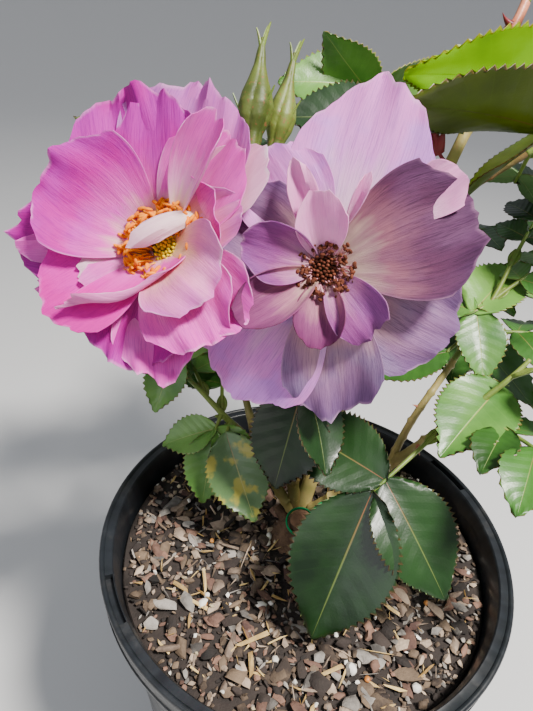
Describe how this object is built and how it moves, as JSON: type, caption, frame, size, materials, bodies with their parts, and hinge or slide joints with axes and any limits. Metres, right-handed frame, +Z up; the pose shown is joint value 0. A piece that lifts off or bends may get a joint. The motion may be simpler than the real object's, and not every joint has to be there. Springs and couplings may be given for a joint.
{
  "type": "potted rose bush",
  "caption": "Young rose bush in a dark nursery pot, with open semi-double blooms in pink and mauve, pointed buds and serrated leaves.",
  "frame": {"origin": "middle of the pot's flat underside", "axes": "+Z up; -Y is the front, the way both blooms face; +X is to the right seen from the front"},
  "size_m": [0.3016, 0.2858, 0.4885],
  "materials": {
    "pot_plastic": "satin dark blue-grey, slightly streaked",
    "potting_mix": "rough bark chips with small stones",
    "bark": "rough brown bark, sawn stub",
    "cane_bark": "smooth green to beige cane skin",
    "green_stems": "satin green stalk and sepal",
    "leaves": "semi-gloss leaf",
    "pink_petals": "soft matte petal",
    "mauve_petals": "soft matte petal",
    "tie_plastic": "matte green"
  },
  "bodies": {
    "root": {"pot": "pot_plastic", "potting_mix": "potting_mix", "trunk": "bark", "plant_tie": "tie_plastic", "bloom_pink": "pink_petals", "bloom_mauve": "mauve_petals", "cane_center": "cane_bark", "cane_tall": "cane_bark", "cane_right": "cane_bark", "cane_left": "cane_bark", "cane_back": "cane_bark", "branch_center": "cane_bark", "branch_right": "cane_bark", "branch_right_low": "cane_bark", "branch_back_left": "cane_bark", "branch_back_right": "cane_bark", "flower_cluster": "green_stems", "foliage_right": "leaves", "foliage_right_middle": "leaves", "foliage_right_top": "leaves", "foliage_top": "leaves", "foliage_center": "leaves", "foliage_left": "leaves", "foliage_back_left": "leaves", "foliage_back": "leaves", "foliage_back_right": "leaves"}
  },
  "joints": []
}
